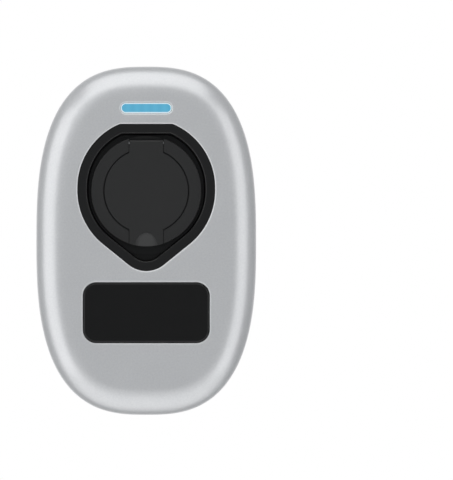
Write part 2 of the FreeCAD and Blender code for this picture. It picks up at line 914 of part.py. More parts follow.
def terminal_block():
    """Supply terminal with wire funnels and screw wells."""
    y = main_board_y
    half = terminal_ways * terminal_pitch / 2
    top = terminal_low_z + terminal_height
    body = block(-half, half, y - terminal_rise, y, terminal_low_z, top)
    cuts = []
    for k in range(terminal_ways):
        x = terminal_pitch * (k - (terminal_ways - 1) / 2)
        cuts.append(block(x - funnel_width / 2, x + funnel_width / 2, y - funnel_high,
                          y - funnel_low, terminal_low_z - over, terminal_low_z + funnel_depth))
        cuts.append(disc(well_radius, y - terminal_rise - over, y - terminal_rise + well_depth,
                         x, terminal_low_z + well_z))
    return without(body, cuts)


def current_sensor():
    """Leakage sensor: a block with the hole that the supply wires pass through."""
    y = main_board_y
    body = rounded_bar(sensor_width, sensor_height, sensor_corner, y - sensor_rise, y, 0, sensor_z)
    half = sensor_height / 2 + over
    return body.cut(rod_z(sensor_hole_radius, sensor_z - half, sensor_z + half, 0,
                          y - sensor_hole_rise))


def cable_grommet():
    """Closed rubber entry in the rear wall, pierced when the supply cable is fitted."""
    body = disc(grommet_radius - grommet_fit, -back_wall, -bracket_seat, 0, grommet_z)
    body = body.fuse(disc(grommet_flange, -back_wall - grommet_flange_thick, -back_wall,
                          0, grommet_z))
    for k in range(groove_count):
        inner = groove_pitch * (k + 1)
        groove = disc(inner + groove_width, -bracket_seat - groove_depth, 0, 0, grommet_z)
        body = body.cut(groove.cut(disc(inner, -back_wall, over, 0, grommet_z)))
    return body


def wall_bracket():
    """Sheet plate with four wall holes, a cable window and two hooks folded forward."""
    pieces = [rounded_bar(bracket_width, bracket_height, bracket_corner, -bracket_thick, 0)]
    tip = -back_wall - hook_reach_gap
    holes = [rounded_bar(bracket_window_width, bracket_window_height, bracket_window_corner,
                         -bracket_thick - over, over, 0, grommet_z)]
    for x in (-hook_x, hook_x):
        a, b = x - hook_width / 2, x + hook_width / 2
        pieces.append(block(a, b, tip - bracket_thick, -bracket_thick, hook_z,
                            hook_z + bracket_thick))
        pieces.append(block(a, b, tip - bracket_thick, tip, hook_z, hook_z + hook_rise))
        holes.append(block(a - hook_relief, b + hook_relief, -bracket_thick - over, over,
                           hook_z - hook_rise - hook_relief, hook_z))
    for x, z in wall_spots():
        holes.append(disc(wall_hole_radius, -bracket_thick - over, over, x, z))
    return without(joined(pieces), holes)


def screws(spots, radius, head, length, seat, way):
    """Pan-head screws; the head's underside lies at seat and the shank runs along way."""
    top = seat - way * screw_head_height
    pieces = []
    for x, z in spots:
        shank = disc(radius, min(seat, seat + way * length), max(seat, seat + way * length), x, z)
        cap = disc(head, min(seat, top), max(seat, top), x, z)
        cap = cap.makeFillet(screw_head_round, edges_at(cap, top))
        pieces.append(shank.fuse(cap))
    return pieces


def small_screws():
    pieces = screws(board_spots(), screw_radius, screw_head, board_screw_length, main_board_y, 1)
    pieces += screws(led_spots() + radio_spots(), screw_radius, screw_head, front_screw_length,
                     front_board_y + board_thick, -1)
    pieces += screws(flange_spots(), screw_radius, screw_head, flange_screw_length,
                     shell_flange_y, -1)
    return Part.makeCompound(pieces)


def body_screws():
    return Part.makeCompound(screws(post_spots(), body_screw_radius, body_screw_head,
                                    body_screw_length, plate_front_y + body_screw_sink, 1))


def save(name, shape):
    shape.exportStep("parts/" + name + ".step")


os.makedirs("parts", exist_ok=True)
region = parting_region()
save("front_cover", front_cover(region))
save("front_body", front_body(region))
save("rear_housing", rear_housing())
save("body_gasket", body_gasket())
save("socket_bezel", socket_bezel())
save("socket_ring", socket_ring())
save("socket_lid", socket_lid())
save("lid_hinge_pin", lid_hinge_pin())
save("lid_spring", lid_spring())
save("lid_seal", lid_seal())
save("socket_shell", socket_shell())
save("socket_insert", socket_insert())
save("power_contacts", contacts(power_pin_spots, power_sleeve, power_bore))
save("signal_contacts", contacts(signal_pin_spots, signal_sleeve, signal_bore))
save("lock_actuator", lock_actuator())
save("lock_pin", lock_pin())
save("light_guide", light_guide())
save("light_lens", light_lens())
save("led_board", led_board())
save("badge_plate", badge_plate())
save("radio_board", radio_board())
save("control_board", control_board())
save("contactor", contactor())
save("terminal_block", terminal_block())
save("current_sensor", current_sensor())
save("cable_grommet", cable_grommet())
save("wall_bracket", wall_bracket())
save("body_screws", body_screws())
save("small_screws", small_screws())
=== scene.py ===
import bpy
import bmesh
import json
from math import pi, sin, cos, sqrt, asin, radians
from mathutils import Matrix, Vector


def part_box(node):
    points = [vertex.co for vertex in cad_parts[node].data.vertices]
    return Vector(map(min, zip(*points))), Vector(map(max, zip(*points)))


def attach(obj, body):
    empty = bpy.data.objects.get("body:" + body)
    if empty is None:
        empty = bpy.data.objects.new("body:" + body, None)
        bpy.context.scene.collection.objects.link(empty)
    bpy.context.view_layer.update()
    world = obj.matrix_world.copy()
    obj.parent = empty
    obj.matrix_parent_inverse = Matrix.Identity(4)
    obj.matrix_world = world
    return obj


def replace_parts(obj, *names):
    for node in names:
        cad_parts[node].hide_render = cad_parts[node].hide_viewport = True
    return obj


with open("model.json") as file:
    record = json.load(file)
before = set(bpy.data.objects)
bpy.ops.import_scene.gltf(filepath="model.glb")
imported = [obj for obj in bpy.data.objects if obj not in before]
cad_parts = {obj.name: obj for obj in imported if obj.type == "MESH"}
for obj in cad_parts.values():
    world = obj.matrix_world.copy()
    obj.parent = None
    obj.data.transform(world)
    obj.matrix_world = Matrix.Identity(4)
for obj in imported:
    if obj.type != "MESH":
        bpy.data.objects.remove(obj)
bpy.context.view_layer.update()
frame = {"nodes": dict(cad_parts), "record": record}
nodes = frame["nodes"]
body_of = {node: body for body, names in frame["record"]["behaviour"]["bodies"].items()
           for node in names}
slot_of = {part["node"]: part["material_slot"] for part in frame["record"]["subparts"]}

# Sizes of the part in metres, as its solids have them.
# The cover: its flat face, outline, edge rounding and wall, and the gap to what fills its holes.
FRONT = -0.136
HALF_W, HALF_H, CENTRE_Z = 0.1105, 0.175, 0.027
POWER = 2.75
ROUND = 0.030
WALL = 0.0026
SEAM = 0.0004
# The slope at the edge of each hole: its width, its depth and the easing of its two edges.
LIP = 0.0016
LIP_DEEP = 0.0006
LIP_EASE = 0.0001
# The cover's rear edge from the side: upright, slanted between these two heights, upright.
PARTING_TOP_Y, PARTING_BEND_Z = -0.0942, 0.166
PARTING_LOW_Y, PARTING_LOW_Z = -0.0599, -0.090
NOTCH_Z, NOTCH_Y, NOTCH_R = -0.1304, -0.1036, 0.010
# The teardrop: two large arcs, one a little above and one below the socket's height, and the tip.
SOCKET_Z = 0.0765
TEAR_R, TEAR_HIGH, TEAR_LOW, TEAR_TOP = 0.0682, 0.0035, 0.0005, 0.0665
TIP_R, TIP_DROP = 0.0274, 0.0798
LIGHT_Z, LIGHT_LONG, LIGHT_TALL, LIGHT_RIM = 0.1592, 0.0488, 0.0081, 0.0009
BADGE_Z, BADGE_WIDE, BADGE_TALL, BADGE_CORNER = -0.0447, 0.1256, 0.0598, 0.013
# The finger ramp in the lid, which carries a painted highlight: half its width, its front and back,
# and its top; then how quickly the highlight fades at its front and back, and at its sides and top.
RAMP_X, RAMP_Y, RAMP_Z = 0.0112, (-0.1317, -0.1290), 0.0495
RAMP_EDGE, RAMP_FADE = 0.0002, 0.001
# The coil of the lid's spring.
WIRE_R, COIL_PITCH = 0.0004, 0.0024
# The screws' heads, as shares of the head's radius: the ball of the dome, and the length and
# width of the recess's bars. As a share of its height: the middle of the bars.
DOME_R, RECESS_LONG, RECESS_WIDE, RECESS_Z = 1.12, 1.15, 0.26, 1.02

# How finely the meshes are made: points, steps and rows.
OUTLINE_POINTS, ROUND_STEPS, SKIRT_ROWS = 480, 22, 8
TEAR_STEPS, TIP_STEPS, CORNER_STEPS = 32, 24, 12
HEAD_SIDES, DOME_RINGS, SHANK_SIDES = 28, 16, 20
COIL_STEPS, WIRE_SIDES = 32, 12
# Points this close are one, and faces that turn by less than FLAT_TURN degrees are flat.
SAME_POINT, SAME_CAD_POINT = 1e-6, 2e-6
FLAT_TURN = 0.2
# A distance too small to see, in metres, and the decimals that it has.
HAIR, DECIMALS = 1e-5, 5
# Bevels take edges that turn by this many degrees more than the edges that are shaded crisp.
BEVEL_STEPS, BEVEL_SPARE = 3, 8
# The most that a large face can lead the shading of its edges.
FACE_LEAD = 100

# The floor's height and its spans in x and y.
FLOOR_Z = -1.3
FLOOR_X, FLOOR_Y = (-2.5, 2.5), (-3.2, 0.5)


def linear(code):
    """sRGB hex to the linear colour that shader sockets take."""
    parts = [int(code[i:i + 2], 16) / 255 for i in (1, 3, 5)]
    return tuple(c / 12.92 if c <= 0.04045 else ((c + 0.055) / 1.055) ** 2.4
                 for c in parts) + (1.0,)


def add(tree, kind, settings=None, **inputs):
    """Adds one node. Inputs that are given another node's socket are linked, the rest are set.

    An input is named with _ for each space, or is _ and its number.
    """
    made = tree.nodes.new(kind)
    for key, value in (settings or {}).items():
        setattr(made, key, value)
    for key, value in inputs.items():
        socket = made.inputs[int(key[1:]) if key[0] == "_" else key.replace("_", " ")]
        if isinstance(value, bpy.types.NodeSocket):
            tree.links.new(value, socket)
        else:
            socket.default_value = value
    return made


def material(name, **shader):
    """A Principled material; returns the material, its tree, the shader and the coordinates."""
    made = bpy.data.materials.new(name)
    made.use_nodes = True
    tree = made.node_tree
    tree.nodes.clear()
    surface = add(tree, "ShaderNodeBsdfPrincipled", **shader)
    add(tree, "ShaderNodeOutputMaterial", Surface=surface.outputs[0])
    where = add(tree, "ShaderNodeTexCoord").outputs["Object"]
    return made, tree, surface, where


def noise(tree, where, size, detail=2.0, roughness=0.5):
    """Noise whose features are about size millimetres across."""
    return add(tree, "ShaderNodeTexNoise", Vector=where, Scale=1000.0 / size, Detail=detail,
               Roughness=roughness).outputs["Fac"]


def between(tree, factor, low, high, start=0.0, end=1.0):
    """Maps a value from start..end to low..high."""
    return add(tree, "ShaderNodeMapRange", Value=factor, From_Min=start, From_Max=end,
               To_Min=low, To_Max=high).outputs[0]


def tint(tree, factor, dark, light):
    """Colour between two hex codes."""
    mix = add(tree, "ShaderNodeMix", {"data_type": "RGBA"}, Factor=factor)
    mix.inputs[6].default_value = linear(dark)
    mix.inputs[7].default_value = linear(light)
    return mix.outputs[2]


def feed(tree, surface, **links):
    """Links node outputs to the shader's sockets."""
    for key, value in links.items():
        tree.links.new(value, surface.inputs[key.replace("_", " ")])


def bump(tree, height, depth_mm):
    """Surface relief of a depth in millimetres."""
    return add(tree, "ShaderNodeBump", Height=height, Distance=depth_mm / 1000.0,
               Strength=1.0).outputs[0]


def silver_paint():
    """Sprayed satin silver on a moulding: fine flake and a trace of orange peel.

    The flake is drawn about four times its real size, so that it shows at all.
    """
    made, tree, surface, where = material("silver_paint", Metallic=0.45, Specular_IOR_Level=0.3)
    flake = noise(tree, where, 2.0, 2.0, 0.7)
    cloud = noise(tree, where, 40.0, 1.0)
    mixed = add(tree, "ShaderNodeMath", {"operation": "MULTIPLY_ADD"}, _0=cloud, _1=0.35,
                _2=between(tree, flake, 0.0, 0.65, 0.25, 0.75)).outputs[0]
    feed(tree, surface, Base_Color=tint(tree, mixed, "#D4D5D7", "#E2E3E4"),
         Roughness=between(tree, flake, 0.30, 0.36),
         Normal=bump(tree, noise(tree, where, 3.0), 0.004))
    return made


def moulded(name, dark, light, rough, grain, depth, gloss, whole=False):
    """Spark-textured ABS moulding: fine even grain that scatters most of its shine.

    grain and depth are in millimetres; whole also returns the tree, shader and coordinates.
    """
    made, tree, surface, where = material(name, Specular_IOR_Level=gloss)
    fine = noise(tree, where, grain, 3.0, 0.6)
    broad = noise(tree, where, 14.0, 2.0)
    feed(tree, surface, Base_Color=tint(tree, fine, dark, light),
         Roughness=between(tree, broad, rough - 0.04, rough + 0.04),
         Normal=bump(tree, fine, depth))
    return (made, tree, surface, where) if whole else made


def socket_plastic():
    """Glass-filled nylon of the socket, evenly grained; the finger ramp in the lid is painted
    paler.

    The ramp's paler colour is a painted highlight, standing in for the light that the ramp's slope
    catches.
    """
    made, tree, surface, where = moulded("socket_black", "#272727", "#2B2B2B", 0.32, 1.0, 0.012,
                                         0.42, whole=True)
    # Painted highlight: a mask over the finger ramp mixes its base colour to a paler grey, standing
    # in for light caught by its slope.
    place = add(tree, "ShaderNodeSeparateXYZ", Vector=where).outputs
    inside = between(tree, place["Y"], 0.0, 1.0, RAMP_Y[0], RAMP_Y[0] + RAMP_EDGE)
    for axis, start, end in (("Y", RAMP_Y[1], RAMP_Y[1] - RAMP_EDGE),
                             ("Z", RAMP_Z, RAMP_Z - RAMP_FADE),
                             ("X", RAMP_X, RAMP_X - RAMP_FADE),
                             ("X", -RAMP_X, RAMP_FADE - RAMP_X)):
        inside = add(tree, "ShaderNodeMath", {"operation": "MULTIPLY"}, _0=inside,
                     _1=between(tree, place[axis], 0.0, 1.0, start, end)).outputs[0]
    grained = surface.inputs["Base Color"].links[0].from_socket
    pale = add(tree, "ShaderNodeMix", {"data_type": "RGBA"}, Factor=inside, _6=grained)
    pale.inputs[7].default_value = linear("#444444")
    feed(tree, surface, Base_Color=pale.outputs[2])
    return made


def smooth_plastic(name, dark, light, rough, gloss):
    """Polished moulding: low even gloss over faint flow marks."""
    made, tree, surface, where = material(name, Specular_IOR_Level=gloss)
    flow = noise(tree, where, 22.0, 3.0)
    feed(tree, surface, Base_Color=tint(tree, flow, dark, light),
         Roughness=between(tree, flow, rough - 0.03, rough + 0.03),
         Normal=bump(tree, noise(tree, where, 5.0), 0.002))
    return made


def lit_lens():
    """Milky acrylic bar lit from behind: five soft lamps that blend into one blue glow."""
    lamp_pitch = 0.009
    made, tree, surface, where = material("blue_light", Roughness=0.35)
    across = add(tree, "ShaderNodeSeparateXYZ", Vector=where).outputs["X"]
    wave = add(tree, "ShaderNodeMath", {"operation": "COSINE"},
               _0=add(tree, "ShaderNodeMath", {"operation": "MULTIPLY"}, _0=across,
                      _1=2 * pi / lamp_pitch).outputs[0]).outputs[0]
    glow = tint(tree, between(tree, wave, 0.0, 1.0, -1.0, 1.0), "#5AABCB", "#60B2D1")
    grain = noise(tree, where, 1.2)
    feed(tree, surface, Base_Color=tint(tree, grain, "#17485E", "#1C5068"), Emission_Color=glow)
    surface.inputs["Emission Strength"].default_value = 0.82
    return made


def pale_guide():
    """Clear acrylic light guide: a pale line round the lens, faintly lit."""
    made, tree, surface, where = material("pale_guide", Roughness=0.25, IOR=1.49,
                                          Subsurface_Weight=0.2, Subsurface_Scale=0.002)
    haze = noise(tree, where, 2.0)
    feed(tree, surface, Base_Color=tint(tree, haze, "#C4D3D9", "#D2DDE1"),
         Emission_Color=tint(tree, haze, "#DCE9EE", "#E6F0F3"))
    surface.inputs["Emission Strength"].default_value = 0.42
    return made


def rubber():
    """Soft moulded rubber, matt with a dusty bloom."""
    made, tree, surface, where = material("rubber", Specular_IOR_Level=0.3, Sheen_Weight=0.1,
                                          Sheen_Roughness=0.5)
    bloom = noise(tree, where, 6.0, 4.0)
    feed(tree, surface, Base_Color=tint(tree, bloom, "#161616", "#202020"),
         Roughness=between(tree, bloom, 0.7, 0.85),
         Normal=bump(tree, noise(tree, where, 0.4), 0.02))
    return made


def plated(name, dark, light, rough, spangle=2.0):
    """Plated steel or brass: cloudy plating over a fine rolling grain.

    spangle is the size of the clouds in millimetres.
    """
    made, tree, surface, where = material(name, Metallic=1.0)
    cloud = noise(tree, where, spangle, 3.0)
    stretch = add(tree, "ShaderNodeMapping", Vector=where, Scale=(40.0, 400.0, 3000.0)).outputs[0]
    grain = add(tree, "ShaderNodeTexNoise", Vector=stretch, Scale=1.0, Detail=2.0).outputs["Fac"]
    feed(tree, surface, Base_Color=tint(tree, cloud, dark, light),
         Roughness=between(tree, grain, rough - 0.08, rough + 0.08),
         Normal=bump(tree, grain, 0.004))
    return made


def solder_mask():
    """Lacquered circuit board: glossy green over faint copper tracks, 4 mm apart."""
    made, tree, surface, where = material("green_board", Roughness=0.35, Coat_Weight=0.4,
                                          Coat_Roughness=0.15)
    tracks = add(tree, "ShaderNodeTexBrick", Vector=where, Scale=250.0,
                 Mortar_Size=0.08).outputs["Fac"]
    feed(tree, surface, Base_Color=tint(tree, tracks, "#0F4A26", "#1C6B3A"),
         Normal=bump(tree, tracks, 0.03))
    return made


finish = {
    "silver_paint": silver_paint(),
    "black_shell": moulded("black_shell", "#1B1B1A", "#20201F", 0.26, 1.1, 0.008, 0.6),
    "black_trim": moulded("black_trim", "#0E0E0E", "#131314", 0.30, 0.9, 0.01, 0.42),
    "black_badge": smooth_plastic("black_badge", "#0F0F0F", "#121212", 0.25, 0.3),
    "socket_black": socket_plastic(),
    "blue_light": lit_lens(),
    "pale_guide": pale_guide(),
    "rubber": rubber(),
    "zinc_steel": plated("zinc_steel", "#A9ABAE", "#BFC0C2", 0.35),
    "contact_silver": plated("contact_silver", "#C9C6BE", "#D9D6CF", 0.25, 5.0),
    "green_board": solder_mask(),
    "grey_plastic": moulded("grey_plastic", "#8F9295", "#9B9EA1", 0.5, 1.0, 0.02, 0.5),
}
for name, slot in slot_of.items():
    nodes[name].data.materials.clear()
    nodes[name].data.materials.append(finish[slot])


def outline(inset):
    """Points of the cover's outline moved inward by inset, with true parallel distance."""
    points = []
    for k in range(OUTLINE_POINTS):
        turn = 2 * pi * k / OUTLINE_POINTS
        c, s = cos(turn), sin(turn)
        reach = (abs(c) ** POWER + abs(s) ** POWER) ** (-1 / POWER)
        x, z = HALF_W * reach * c, HALF_H * reach * s
        gx = abs(x / HALF_W) ** (POWER - 1) / HALF_W * (1 if x > 0 else -1)
        gz = abs(z / HALF_H) ** (POWER - 1) / HALF_H * (1 if z > 0 else -1)
        size = sqrt(gx * gx + gz * gz)
        points.append((x - inset * gx / size, z + CENTRE_Z - inset * gz / size))
    return points


def arc(cx, cz, radius, start, end, count):
    """Points of an arc in the upright plane, both ends included."""
    return [(cx + radius * cos(start + (end - start) * k / count),
             cz + radius * sin(start + (end - start) * k / count)) for k in range(count + 1)]


def tear(grow):
    """Teardrop outline round the socket, grown by a distance."""
    r, tip_r = TEAR_R + grow, TIP_R + grow
    high, low = SOCKET_Z + TEAR_HIGH, SOCKET_Z + TEAR_LOW
    drop = TIP_DROP - TIP_R
    lean = asin((TEAR_R - TIP_R) / drop)
    up = asin((TEAR_TOP - TEAR_HIGH + grow) / r)
    right = arc(0, high, r, up, 0, TEAR_STEPS) + arc(0, low, r, 0, -lean, TIP_STEPS)
    tip = arc(0, low - drop, tip_r, -lean, lean - pi, TIP_STEPS)
    left = arc(0, low, r, lean - pi, -pi, TIP_STEPS) + arc(0, high, r, pi, pi - up, TEAR_STEPS)
    return right + tip + left


def bar(width, height, corner, z):
    """Rounded bar outline centred on x = 0."""
    w, h = width / 2 - corner, height / 2 - corner
    points = []
    for k, (sx, sz) in enumerate(((1, 1), (-1, 1), (-1, -1), (1, -1))):
        points += arc(sx * w, z + sz * h, corner, k * pi / 2, (k + 1) * pi / 2, CORNER_STEPS)
    return points


def badge_hole(grow):
    """The cover's opening for the black plate, grown by a distance."""
    more = SEAM + grow
    return bar(BADGE_WIDE + 2 * more, BADGE_TALL + 2 * more, BADGE_CORNER + more, BADGE_Z)


def light_hole(grow):
    """The cover's opening for the light and its guide, grown by a distance."""
    more = LIGHT_RIM + SEAM + grow
    tall = LIGHT_TALL + 2 * more
    return bar(LIGHT_LONG + 2 * more, tall, tall / 2 - HAIR, LIGHT_Z)


def socket_hole(grow):
    """The cover's opening for the teardrop dish, grown by a distance."""
    return tear(SEAM + grow)


def finished(name, mesh, slot_name, body="box"):
    """Puts a mesh into the scene as a piece that rides on a body."""
    piece = bpy.data.objects.new(name, mesh)
    bpy.context.scene.collection.objects.link(piece)
    mesh.materials.clear()
    mesh.materials.append(finish[slot_name])
    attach(piece, body)
    return piece


def mesh_from(name, bm, sharp=None):
    """A smooth-shaded mesh; edges that turn by more than sharp degrees stay crisp."""
    bmesh.ops.remove_doubles(bm, verts=bm.verts, dist=SAME_POINT)
    mesh = bpy.data.meshes.new(name)
    bm.to_mesh(mesh)
    bm.free()
    mesh.polygons.foreach_set("use_smooth", [True] * len(mesh.polygons))
    if sharp:
        mesh.set_sharp_from_angle(angle=radians(sharp))
    return mesh


def ring_of(bm, points, y):
    """New vertices for a closed ring of points at one depth."""
    return [bm.verts.new((x, y, z)) for x, z in points]


def skin(bm, rings):
    """Quads between neighbouring closed rings."""
    for a, b in zip(rings, rings[1:]):
        for i in range(len(a)):
            j = (i + 1) % len(a)
            bm.faces.new((a[i], a[j], b[j], b[i]))


def edges_of(bm, ring):
    """The edges of a closed ring, made where they are missing."""
    found = []
    for i in range(len(ring)):
        pair = (ring[i], ring[(i + 1) % len(ring)])
        found.append(bm.edges.get(pair) or bm.edges.new(pair))
    return found


def parting_y(z):
    """The cover's rear edge, seen from the side: upright, slanted, upright."""
    if z > PARTING_BEND_Z:
        return PARTING_TOP_Y
    if z > PARTING_LOW_Z:
        share = (PARTING_BEND_Z - z) / (PARTING_BEND_Z - PARTING_LOW_Z)
        return PARTING_TOP_Y + (PARTING_LOW_Y - PARTING_TOP_Y) * share
    return PARTING_LOW_Y


def notch_y(z):
    """Front edge of the chin notch, with its rounded upper corner."""
    drop = NOTCH_Z - z
    if drop >= NOTCH_R:
        return NOTCH_Y
    return NOTCH_Y + NOTCH_R - sqrt(NOTCH_R ** 2 - (NOTCH_R - drop) ** 2)


def cover():
    """Front cover: flat face with three cut-outs, one large rounding, skirt with the chin notch."""
    bm = bmesh.new()
    lip = ((LIP + SEAM, 0), (LIP - LIP_EASE, LIP_EASE / 2), (LIP_EASE, LIP_DEEP - LIP_EASE),
           (0, LIP_DEEP + LIP_EASE), (0, WALL))
    rings = [ring_of(bm, outline(ROUND + SEAM), FRONT)]
    for k in range(ROUND_STEPS + 1):
        turn = pi / 2 * k / ROUND_STEPS
        rings.append(ring_of(bm, outline(ROUND * (1 - sin(turn))), FRONT + ROUND * (1 - cos(turn))))
    skin(bm, rings)
    hole_edges = []
    for shape in (socket_hole, badge_hole, light_hole):
        hole = [ring_of(bm, shape(grow), FRONT + depth) for grow, depth in lip]
        skin(bm, hole)
        hole_edges += edges_of(bm, hole[0])
    bmesh.ops.triangle_fill(bm, edges=edges_of(bm, rings[0]) + hole_edges, use_beauty=True)
    skirt(bm, outline(0), outline(WALL))
    bmesh.ops.remove_doubles(bm, verts=bm.verts, dist=SAME_POINT)
    bmesh.ops.recalc_face_normals(bm, faces=bm.faces)
    return finished("cover", mesh_from("cover", bm), "silver_paint")


def skirt(bm, outer, inner):
    """Side wall from the rounding to the rear edge, with the wall's thickness turned in."""
    start, rows = FRONT + ROUND, SKIRT_ROWS
    for i in range(len(outer)):
        j = (i + 1) % len(outer)
        strip = [(outer[i], inner[i]), (outer[j], inner[j])]
        spans = [strip]
        if (outer[i][1] - NOTCH_Z) * (outer[j][1] - NOTCH_Z) < 0:
            share = (NOTCH_Z - outer[i][1]) / (outer[j][1] - outer[i][1])
            middle = tuple(tuple(a + (b - a) * share for a, b in zip(p, q))
                           for p, q in zip(*strip))
            spans = [[strip[0], middle], [middle, strip[1]]]
        for a, b in spans:
            under = (a[0][1] + b[0][1]) / 2 < NOTCH_Z
            ends = [notch_y(p[0][1]) if under else parting_y(p[0][1]) for p in (a, b)]
            column = [[bm.verts.new((p[0][0], start + (end - start) * r / rows, p[0][1]))
                       for r in range(rows + 1)] +
                      [bm.verts.new((p[1][0], end, p[1][1])),
                       bm.verts.new((p[1][0], start, p[1][1]))]
                      for p, end in zip((a, b), ends)]
            for r in range(rows + 2):
                bm.faces.new((column[0][r], column[1][r], column[1][r + 1], column[0][r + 1]))


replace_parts(cover(), "front_cover")


def welded(node, joined=True):
    """A merged copy of a CAD node's loose triangles, with flat areas joined if wanted."""
    bm = bmesh.new()
    bm.from_mesh(nodes[node].data)
    bmesh.ops.remove_doubles(bm, verts=bm.verts, dist=SAME_CAD_POINT)
    if joined:
        bmesh.ops.dissolve_limit(bm, angle_limit=radians(FLAT_TURN), verts=bm.verts,
                                 edges=bm.edges)
    return bm


def crisp_back(mesh):
    """Marks the edges in the rearmost plane as sharp, so that the wall face shades evenly."""
    rear = max(vertex.co.y for vertex in mesh.vertices) - HAIR
    for edge in mesh.edges:
        edge.use_edge_sharp |= all(mesh.vertices[k].co.y > rear for k in edge.vertices)


def softened(node, name, edge=0.0, sharp=32.0, joined=True, flats=True):
    """Replaces a node by a smooth-shaded copy, with its crisp edges broken by edge metres.

    Edges that turn by more than sharp degrees stay crisp. joined merges the triangles of flat
    areas, and flats lets the largest faces lead the shading. The two sculpted shells keep their
    own triangles, so that they shade smoothly.
    """
    copied = mesh_from(name, welded(node, joined), sharp)
    crisp_back(copied)
    piece = finished(name, copied, slot_of[node], body_of[node])
    if edge:
        bevel = piece.modifiers.new("edge", "BEVEL")
        bevel.width = edge
        bevel.segments = BEVEL_STEPS
        bevel.limit_method = "ANGLE"
        bevel.angle_limit = radians(sharp + BEVEL_SPARE)
    if flats:
        even = piece.modifiers.new("flat_faces", "WEIGHTED_NORMAL")
        even.keep_sharp = True
        even.weight = FACE_LEAD
    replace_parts(piece, node)


def parts_of(node):
    """The separate solids of a node, each as its merged vertices' places."""
    bm = welded(node)
    bm.verts.ensure_lookup_table()
    seen, found = set(), []
    for start in bm.verts:
        if start.index in seen:
            continue
        seen.add(start.index)
        queue, solid = [start], []
        while queue:
            vert = queue.pop()
            solid.append(vert.co.copy())
            for edge in vert.link_edges:
                other = edge.other_vert(vert)
                if other.index not in seen:
                    seen.add(other.index)
                    queue.append(other)
        found.append(solid)
    bm.free()
    return found


def fasteners(node):
    """Seat, direction, head radius, head height, shank radius and length of a node's screws.

    The seat is the depth at which the head, the widest part, ends.
    """
    found = []
    for solid in parts_of(node):
        xs, ys, zs = ([place[k] for place in solid] for k in range(3))
        x, z = (min(xs) + max(xs)) / 2, (min(zs) + max(zs)) / 2
        reach = {}
        for place in solid:
            y = round(place[1], DECIMALS)
            reach[y] = max(reach.get(y, 0), sqrt((place[0] - x) ** 2 + (place[2] - z) ** 2))
        head = max(reach.values())
        wide = [y for y, radius in reach.items() if radius > 0.9 * head]
        way = 1 if max(ys) - max(wide) > min(wide) - min(ys) else -1
        seat = max(wide) if way > 0 else min(wide)
        top, end = (min(ys), max(ys)) if way > 0 else (max(ys), min(ys))
        found.append(((x, seat, z), way, head, abs(seat - top), reach[round(end, DECIMALS)],
                      abs(end - seat)))
    return found


class Tree:
    """A Geometry Nodes tree with named inputs, built node by node."""

    def __init__(self, name, **sizes):
        self.tree = bpy.data.node_groups.new(name, "GeometryNodeTree")
        face = self.tree.interface
        face.new_socket("Geometry", in_out="INPUT", socket_type="NodeSocketGeometry")
        self.names = {}
        for size, value in sizes.items():
            made = face.new_socket(size, in_out="INPUT", socket_type="NodeSocketFloat")
            made.default_value = value
            self.names[size] = made.identifier
        face.new_socket("Geometry", in_out="OUTPUT", socket_type="NodeSocketGeometry")
        self.given = self.tree.nodes.new("NodeGroupInput").outputs

    def node(self, kind, settings=None, **inputs):
        """Adds one node and returns its outputs."""
        return add(self.tree, kind, settings, **inputs).outputs

    def times(self, a, b):
        """The product of a size and a number."""
        return self.node("ShaderNodeMath", {"operation": "MULTIPLY"}, _0=a, _1=b)[0]

    def vector(self, x=0.0, y=0.0, z=0.0):
        """Three sizes as one vector."""
        return self.node("ShaderNodeCombineXYZ", X=x, Y=y, Z=z)[0]

    def close(self, shape, surface):
        """Ends the tree in real geometry with its material."""
        real = self.node("GeometryNodeRealizeInstances", Geometry=shape)[0]
        dressed = self.node("GeometryNodeSetMaterial", Geometry=real, Material=surface)[0]
        add(self.tree, "NodeGroupOutput", Geometry=dressed)

    def bake(self, name, base, **sizes):
        """Runs the tree on a base mesh with these sizes and returns the plain mesh."""
        holder = bpy.data.objects.new(name + "_base", base)
        bpy.context.scene.collection.objects.link(holder)
        run = holder.modifiers.new("shape", "NODES")
        run.node_group = self.tree
        for size, value in sizes.items():
            run[self.names[size]] = value
        ready = holder.evaluated_get(bpy.context.evaluated_depsgraph_get())
        mesh = bpy.data.meshes.new_from_object(ready)
        bpy.data.objects.remove(holder)
        mesh.name = name
        return mesh


def points_mesh(name, places, normals):
    """Loose points, each with the direction that its copy is turned to."""
    mesh = bpy.data.meshes.new(name)
    mesh.from_pydata(places, [], [])
    way = mesh.attributes.new("way", "FLOAT_VECTOR", "POINT")
    way.data.foreach_set("vector", [value for normal in normals for value in normal])
    return mesh


